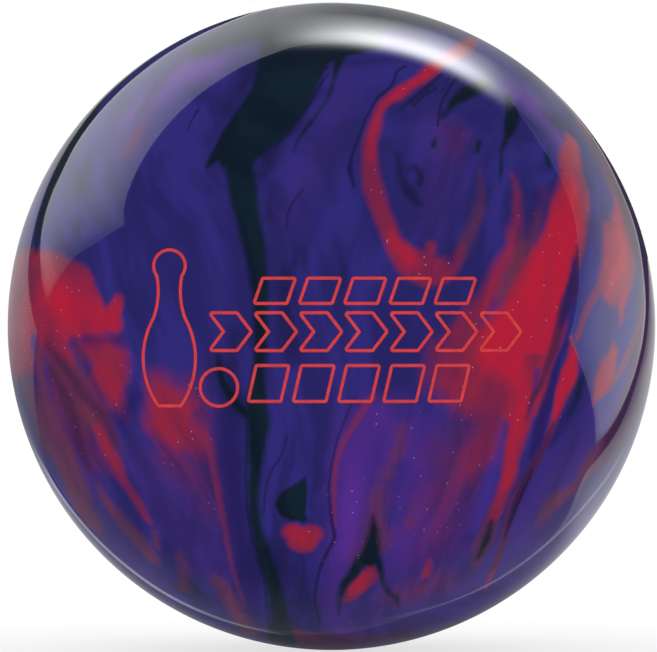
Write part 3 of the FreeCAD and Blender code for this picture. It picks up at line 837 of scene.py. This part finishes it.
def cover_material():
    """Swirled resin: colours poured side by side, drawn out in long streaks, under a clear polish."""
    resin = Material("swirled_resin")
    bent, drawn = streaked(resin)
    streaks = resin.noise(9 * MM, 4, drawn)
    clouds = resin.noise(35 * MM, 2, bent)
    edges = resin.math("SUBTRACT", resin.noise(10 * MM, 4), 0.5)
    fringe = resin.math("SUBTRACT", resin.noise(1.6 * MM, 3, drawn), 0.5)
    sway = resin.math("SUBTRACT", resin.noise(8 * MM, 2), 0.5)

    def cover_of(layer, wander, fray, strength=1.0):
        """How far a layer hides those below it, with an edge that wanders and frays."""
        value = resin.math("MULTIPLY_ADD", edges, wander, resin.attribute(layer))
        value = resin.math("MULTIPLY_ADD", fringe, fray, value)
        return resin.step(value, -1.0, 1.0, 0.0, strength)

    def line(layer, softness, strength):
        """How far the thin lines of a layer hide what is below them."""
        aside = resin.math("MULTIPLY_ADD", sway, 0.8, resin.attribute(f"{layer}_aside"))
        inside = resin.math("SUBTRACT", resin.attribute(f"{layer}_half"), resin.math("ABSOLUTE", aside))
        return resin.step(inside, -softness, softness, 0.0, strength)

    def tone(low, high, by=streaks):
        """A colour that changes from streak to streak."""
        return resin.mix(resin.step(by, *MOST_NOISE), low, high)

    plum_cover = cover_of("plum", 1.5, 0.5, 0.8)
    violet_cover = cover_of("violet", 1.2, 0.3)
    red_cover = cover_of("red", 1.2, 0.4)
    shade = tone((38, 34, 98), (49, 41, 121))
    shade = resin.mix(violet_cover, shade, tone((68, 38, 124), (86, 44, 142), clouds))
    shade = resin.mix(cover_of("dusk", 1.2, 0.3, 0.85), shade, tone((52, 36, 102), (62, 42, 120)))
    shade = resin.mix(cover_of("blue", 1.0, 0.3), shade, (60, 44, 134))
    shade = resin.mix(cover_of("deep", 1.6, 0.9, 0.8), shade, tone((22, 24, 62), (32, 28, 78)))
    shade = resin.mix(plum_cover, shade, tone((74, 34, 86), (104, 38, 84)))
    shade = resin.mix(cover_of("brown", 1.6, 0.8, 0.8), shade, tone((84, 43, 74), (110, 48, 68)))
    shade = resin.mix(red_cover, shade, tone((118, 34, 70), (146, 36, 64)))
    scarlet_cover = resin.math("MULTIPLY", red_cover, cover_of("scarlet", 1.2, 0.4))
    shade = resin.mix(scarlet_cover, shade, tone((168, 30, 60), (182, 28, 54)))
    shade = resin.mix(line("rose", 0.9, 0.7), shade, (124, 40, 70))
    shade = resin.mix(cover_of("maroon", 1.2, 0.5, 0.85), shade, tone((54, 27, 66), (72, 32, 70)))
    shade = resin.mix(cover_of("navy", 1.4, 0.6, 0.9), shade, (38, 28, 92))
    shade = resin.mix(cover_of("black", 1.1, 0.6), shade, tone((12, 24, 40), (17, 34, 48)))
    shade = resin.mix(line("dark", 0.55, 0.75), shade, (22, 22, 58))
    warm = resin.math("MAXIMUM", red_cover, resin.math("MAXIMUM", plum_cover, violet_cover))
    # the pearl flakes are real, but their pale dots are painted glints: sparkle painted into the colour
    shade = resin.mix(painted_pearl_glints(resin, warm, 0.6), shade, (190, 165, 205))
    resin.bump(resin.noise(4 * MM, 2), 0.004 * MM)
    roughness = resin.step(resin.noise(20 * MM, 3), *ALL_NOISE, 0.04, 0.06)
    return resin.finish(base_color=shade, roughness=roughness)


def speckled(name, dark, light, grain, roughness, depth):
    """A cast or painted filler: two tones in grains, slightly rough."""
    filler = Material(name)
    clouds = filler.noise(8 * grain, 3)
    grains = filler.noise(grain, 3)
    blend = filler.math("MULTIPLY", filler.math("ADD", clouds, grains), 0.5)
    shade = filler.mix(filler.step(blend, *MOST_NOISE), dark, light)
    filler.bump(grains, depth)
    rough = filler.step(grains, *ALL_NOISE, roughness * 0.85, roughness * 1.15)
    return filler.finish(base_color=shade, roughness=rough)


def dress(mesh, material):
    mesh.materials.clear()
    mesh.materials.append(material)


# ---------------------------------------------------------------- studio


def mirrored_at(clock, share):
    """The direction in which the camera sees the studio mirrored in the ball. clock is in degrees
    clockwise from the top, and share is the distance from the ball's middle as a share of its outline."""
    spread = math.atan(share * math.tan(OUTLINE_ANGLE))
    turn = math.radians(clock)
    aside = math.sin(spread)
    sight = Vector((math.sin(turn) * aside, math.cos(spread), math.cos(turn) * aside))
    eye = Vector((0, -CAMERA_DISTANCE, 0))
    along = -eye.dot(sight)
    depth = along**2 - eye.dot(eye) + RADIUS**2
    spot = eye + sight * (along - math.sqrt(max(depth, 0)))
    return sight.reflect(spot.normalized())


def eased(values, place):
    """The value at a place along evenly spaced values, on a smooth run through them. Where two values
    in a row are the same the run has a corner. Works on rows of values as well."""
    first = min(int(place), len(values) - 2)
    share = place - first
    start, end = values[first], values[first + 1]
    if np.array_equal(start, end):
        return start
    before, after = values[max(first - 1, 0)], values[min(first + 2, len(values) - 1)]
    leave = (end - start) if np.array_equal(before, start) else (end - before) / 2
    arrive = (end - start) if np.array_equal(end, after) else (after - start) / 2
    return curve_between(share, start, end, leave, arrive)


def make_light(name, material, rows, profile=(1, 1), edge_glow=0.0, distance=STUDIO_DISTANCE):
    """A soft light, placed by where it shows in the ball. profile gives the glow's share at equal steps
    from the inner to the outer edge; edge_glow is the extra glow of the light's thin bright edges."""
    rows = np.array(rows, dtype=float)
    profile = np.array(profile, dtype=float)
    places = np.arange(0, len(rows) - 1 + TINY, 1 / LIGHT_STEPS)
    steps = list(np.linspace(EDGE_WIDTH, 1 - EDGE_WIDTH, LIGHT_COLUMNS))
    columns = [(0, edge_glow), (EDGE_WIDTH, edge_glow), *[(step, 0) for step in steps]]
    columns += [(1 - EDGE_WIDTH, edge_glow), (1, edge_glow)]
    points, glows, faces = [], [], []
    for place in places:
        clock, inner, outer, *levels = eased(rows, place)
        edge_share = min(1, max(levels) / FULL_EDGE_LEVEL)
        if len(levels) == 1:
            levels *= 2
        for step, extra in columns:
            points.append(mirrored_at(clock, inner + (outer - inner) * step) * distance)
            level = eased(np.array(levels), step * (len(levels) - 1))
            share = eased(profile, step * (len(profile) - 1))
            glows.append(max(level * share, 0) + extra * edge_share)
    width = len(columns)
    for row in range(len(places) - 1):
        for number in range(width - 1):
            corner = row * width + number
            faces.append((corner, corner + 1, corner + width + 1, corner + width))
    light = new_object(name, [tuple(point) for point in points], faces)
    layer = light.data.attributes.new("glow", "FLOAT", "POINT")
    layer.data.foreach_set("value", glows)
    light.data.materials.append(material)
    light.visible_camera = False
    light.visible_diffuse = False
    light.visible_shadow = False


def fresh_tree(owner, *kinds):
    """The owner's node tree, emptied, and a new node of each kind in it."""
    owner.use_nodes = True
    owner.node_tree.nodes.clear()
    return owner.node_tree, [owner.node_tree.nodes.new(f"ShaderNode{kind}") for kind in kinds]


def light_material():
    """A glow that adds to whatever lies behind it."""
    material = bpy.data.materials.new("soft_light")
    kinds = ("OutputMaterial", "Attribute", "Emission", "BsdfTransparent", "AddShader")
    tree, (out, glow, shine, clear, both) = fresh_tree(material, *kinds)
    glow.attribute_name = "glow"
    tree.links.new(glow.outputs["Fac"], shine.inputs["Strength"])
    tree.links.new(shine.outputs[0], both.inputs[0])
    tree.links.new(clear.outputs[0], both.inputs[1])
    tree.links.new(both.outputs[0], out.inputs["Surface"])
    material.cycles.emission_sampling = "NONE"
    return material


def make_floor():
    """A pale floor under the ball, which the polish doesn't mirror: FLOOR_GLOW stands in for it there."""
    ways = [(-1, -1), (1, -1), (1, 1), (-1, 1)]
    corners = [(across * FLOOR_REACH, ahead * FLOOR_REACH, -RADIUS) for across, ahead in ways]
    floor = new_object("floor", corners, [(0, 1, 2, 3)])
    surface = bpy.data.materials.new("floor")
    surface.use_nodes = True
    shader = surface.node_tree.nodes["Principled BSDF"]
    shader.inputs["Base Color"].default_value = (FLOOR_GREY, FLOOR_GREY, FLOOR_GREY, 1)
    shader.inputs["Roughness"].default_value = 0.9
    shader.inputs["Specular IOR Level"].default_value = 0.0
    shader.inputs["Emission Color"].default_value = (1, 1, 1, 1)
    shader.inputs["Emission Strength"].default_value = FLOOR_BRIGHTNESS
    surface.cycles.emission_sampling = "NONE"
    floor.data.materials.append(surface)
    floor.visible_glossy = False


def make_sky():
    """An even white studio for sight and soft light, which the polish mirrors as almost black."""
    world = bpy.data.worlds.new("studio")
    bpy.context.scene.world = world
    kinds = ("OutputWorld", "LightPath", "Background", "Background", "MixShader")
    tree, (out, path, white, dim, choice) = fresh_tree(world, *kinds)
    white.inputs["Strength"].default_value = STUDIO_GLOW
    white.inputs["Color"].default_value = (1, 1, 1, 1)
    dim.inputs["Color"].default_value = MIRRORED_TINT
    dim.inputs["Strength"].default_value = MIRRORED_GLOW
    tree.links.new(path.outputs["Is Glossy Ray"], choice.inputs["Fac"])
    tree.links.new(white.outputs[0], choice.inputs[1])
    tree.links.new(dim.outputs[0], choice.inputs[2])
    tree.links.new(choice.outputs[0], out.inputs["Surface"])
    world.cycles.sampling_method = "NONE"


def make_camera():
    """Level with the ball, at the lens that makes the ball fill its share of the picture's width."""
    data = bpy.data.cameras.new("camera")
    camera = bpy.data.objects.new("camera", data)
    bpy.context.collection.objects.link(camera)
    data.sensor_fit = "HORIZONTAL"
    data.sensor_width = SENSOR
    data.lens = SENSOR / 2 * BALL_SHARE_OF_WIDTH / math.tan(OUTLINE_ANGLE)
    data.clip_end = VIEW_END
    camera.location = Vector((0, -CAMERA_DISTANCE, 0)) + CAMERA_ASIDE
    camera.rotation_euler = (math.pi / 2, 0, 0)
    bpy.context.scene.camera = camera


# ---------------------------------------------------------------- what the polish mirrors
# Each row: clock angle, inner edge and outer edge as shares of the ball's outline, then the glow at
# equal steps from the inner to the outer edge. A row given twice makes a sharp corner.

LEFT_PANEL = [
    (8, 0.872, 1.0, 0, 0, 0, 0, 0),
    (0, 0.872, 1.0, 0.3, 0.5, 0.5, 0.3, 0.15),
    (-7, 0.870, 1.0, 0.6, 0.95, 0.9, 0.65, 0.35),
    (-12, 0.860, 1.0, 0.85, 1.0, 0.95, 0.72, 0.3),
    (-20, 0.844, 0.990, 0.95, 1.15, 1.1, 0.95, 0.6),
    (-33, 0.815, 0.981, 1.0, 1.25, 1.32, 1.12, 0.78),
    (-46, 0.783, 0.974, 1.15, 1.45, 1.65, 1.35, 0.85),
    (-54, 0.760, 0.968, 1.15, 1.62, 1.75, 1.4, 0.95),
    (-60, 0.738, 0.958, 0.8, 1.5, 1.7, 1.48, 1.0),
    (-64, 0.711, 0.955, 0.55, 1.1, 1.45, 1.48, 1.0),
    (-64, 0.711, 0.955, 0.55, 1.1, 1.45, 1.48, 1.0),
    (-70, 0.766, 0.945, 0.25, 0.72, 1.0, 1.1, 1.0),
    (-75, 0.821, 0.929, 0.35, 0.5, 0.7, 0.92, 0.85),
    (-81, 0.860, 0.903, 0.2, 0.45, 0.55, 0.5, 0.3),
    (-85, 0.878, 0.881, 0, 0, 0, 0, 0),
]
RIGHT_PANEL = [
    (38, 0.888, 1.0, 0, 0, 0, 0, 0),
    (47, 0.858, 0.998, 0.15, 0.3, 0.42, 0.36, 0.25),
    (56, 0.842, 0.995, 0.14, 0.4, 0.52, 0.46, 0.24),
    (64, 0.826, 0.988, 0.2, 0.48, 0.62, 0.55, 0.32),
    (73, 0.796, 0.985, 0.3, 0.58, 0.88, 0.75, 0.4),
    (80, 0.774, 0.977, 0.3, 0.85, 1.2, 1.0, 0.6),
    (87, 0.751, 0.970, 0.3, 1.1, 1.32, 1.1, 0.85),
    (93, 0.733, 0.960, 0.45, 1.05, 1.38, 1.2, 0.95),
    (93, 0.733, 0.960, 0.45, 1.05, 1.38, 1.2, 0.95),
    (99, 0.778, 0.946, 0.65, 1.0, 1.3, 1.25, 1.0),
    (105, 0.826, 0.930, 0.6, 1.15, 1.14, 1.2, 1.1),
    (110, 0.864, 0.914, 0.7, 1.0, 1.07, 1.0, 0.8),
    (114, 0.890, 0.892, 0.3, 0.3, 0.3, 0.3, 0.3),
]
TOP_ARC = [
    (-12, 0.845, 0.966, 0),
    (-7, 0.845, 0.966, 1.2),
    (0, 0.845, 0.966, 4.6),
    (8, 0.845, 0.966, 8.2),
    (15, 0.845, 0.966, 8.4),
    (22, 0.845, 0.966, 8.3),
    (30, 0.843, 0.964, 5.7),
    (35, 0.840, 0.960, 2.1),
    (40, 0.838, 0.956, 0),
]
ARC_PROFILE = (0, 0.06, 0.3, 0.75, 1.0, 0.92, 0.66, 0.42, 0.25, 0.14, 0.06, 0)
LOW_LINE_RIGHT = [
    (112, 0.976, 0.983, 0),
    (118, 0.967, 0.974, 0.3),
    (127, 0.951, 0.957, 0.5),
    (137, 0.939, 0.945, 0.6),
    (148, 0.929, 0.935, 0.6),
    (155, 0.922, 0.928, 0.4),
    (164, 0.915, 0.922, 0.2),
    (172, 0.913, 0.920, 0),
]
LOW_LINE_LEFT = [
    (187, 0.957, 0.964, 0),
    (193, 0.959, 0.965, 0.3),
    (202, 0.963, 0.969, 0.6),
    (211, 0.967, 0.974, 0.8),
    (220, 0.970, 0.977, 0.8),
    (230, 0.975, 0.982, 0.7),
    (240, 0.982, 0.989, 0.5),
    (249, 0.990, 0.996, 0),
]
# the soft light that the floor throws up on the ball's underside
FLOOR_GLOW = [
    (108, 0.86, 0.90, 0, 0, 0),
    (120, 0.80, 0.912, 0, 0.08, 0.15),
    (130, 0.80, 0.945, 0, 0.14, 0.2),
    (140, 0.78, 0.937, 0, 0.14, 0.2),
    (150, 0.76, 0.925, 0, 0.12, 0.18),
    (160, 0.76, 0.918, 0, 0.08, 0.13),
    (180, 0.76, 0.95, 0, 0.06, 0.06),
    (200, 0.82, 0.962, 0, 0.08, 0.13),
    (215, 0.84, 0.97, 0, 0.11, 0.15),
    (230, 0.85, 0.972, 0, 0.11, 0.12),
    (245, 0.87, 0.975, 0, 0.05, 0.1),
    (258, 0.90, 0.93, 0, 0, 0),
]
# the studio behind the ball, which the outline mirrors
BACKDROP_TOP = [
    (-7, 0.90, 1.0, 0, 0, 0),
    (4, 0.90, 1.0, 0.25, 0.25, 0.22),
    (12, 0.90, 1.0, 0.3, 0.38, 0.33),
    (24, 0.90, 1.0, 0.3, 0.38, 0.32),
    (34, 0.888, 1.0, 0.25, 0.34, 0.28),
    (40, 0.884, 1.0, 0.2, 0.3, 0.22),
    (48, 0.880, 1.0, 0, 0, 0),
]
BACKDROP_ROUND = [
    (78, 0.997, 1.0, 0.3, 0.5, 0.6),
    (84, 0.985, 1.0, 0.2, 0.5, 0.6),
    (90, 0.976, 1.0, 0.2, 0.45, 0.6),
    (95, 0.967, 1.0, 0.2, 0.55, 0.6),
    (100, 0.957, 1.0, 0.3, 0.6, 0.55),
    (106, 0.947, 1.0, 0.3, 0.6, 0.55),
    (111, 0.936, 1.0, 0.5, 0.66, 0.5),
    (116, 0.918, 1.0, 0.6, 0.72, 0.5),
    (120, 0.905, 1.0, 0.6, 0.75, 0.5),
    (124, 0.913, 1.0, 0.5, 0.75, 0.5),
    (128, 0.929, 1.0, 0.3, 0.65, 0.5),
    (133, 0.939, 1.0, 0.2, 0.35, 0.45),
    (140, 0.939, 1.0, 0.18, 0.2, 0.32),
    (150, 0.929, 1.0, 0.12, 0.08, 0.17),
    (160, 0.918, 1.0, 0.08, 0.05, 0.1),
    (180, 0.935, 1.0, 0.02, 0.02, 0.04),
    (195, 0.961, 1.0, 0.06, 0.06, 0.1),
    (210, 0.972, 1.0, 0.1, 0.15, 0.25),
    (225, 0.978, 1.0, 0.2, 0.3, 0.4),
    (238, 0.984, 1.0, 0.3, 0.4, 0.45),
    (245, 0.976, 1.0, 0.1, 0.2, 0.4),
    (252, 0.953, 1.0, 0.15, 0.18, 0.25),
    (258, 0.938, 1.0, 0.25, 0.22, 0.2),
    (264, 0.922, 1.0, 0.3, 0.33, 0.24),
    (269, 0.908, 1.0, 0.3, 0.46, 0.3),
    (269, 0.908, 1.0, 0.3, 0.46, 0.3),
    (274, 0.930, 1.0, 0.45, 0.48, 0.35),
    (281, 0.953, 1.0, 0.55, 0.5, 0.38),
    (289, 0.967, 1.0, 0.5, 0.5, 0.4),
    (298, 0.979, 1.0, 0.45, 0.5, 0.45),
    (307, 0.988, 1.0, 0.45, 0.45, 0.45),
    (315, 0.995, 1.0, 0.45, 0.45, 0.45),
    (322, 0.996, 1.0, 0.4, 0.4, 0.4),
    (332, 0.999, 1.0, 0.2, 0.2, 0.2),
]

# ---------------------------------------------------------------- putting it together

cover = make_cover()
paint(cover)
dress(cover.data, cover_material())
cover.data.polygons.foreach_set("material_index", [0] * len(cover.data.polygons))
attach(cover, BODY)
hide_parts("coverstock")

for filler_name, (nodes, dark, light, grain, roughness, depth) in FILLERS.items():
    filler = speckled(filler_name, dark, light, grain * MM, roughness, depth * MM)
    for node_name in nodes:
        dress(frame["nodes"][node_name].data, filler)

glow = light_material()
make_light("left_panel", glow, LEFT_PANEL, edge_glow=EDGE_GLOW)
make_light("right_panel", glow, RIGHT_PANEL, edge_glow=EDGE_GLOW)
make_light("top_arc", glow, TOP_ARC, profile=ARC_PROFILE)
make_light("low_line_right", glow, LOW_LINE_RIGHT)
make_light("low_line_left", glow, LOW_LINE_LEFT)
make_light("floor_glow", glow, FLOOR_GLOW)
make_light("backdrop_top", glow, BACKDROP_TOP, distance=BACKDROP_DISTANCE)
make_light("backdrop_round", glow, BACKDROP_ROUND, distance=BACKDROP_DISTANCE)
make_floor()
make_sky()
make_camera()
bpy.context.scene.view_settings.view_transform = "Standard"
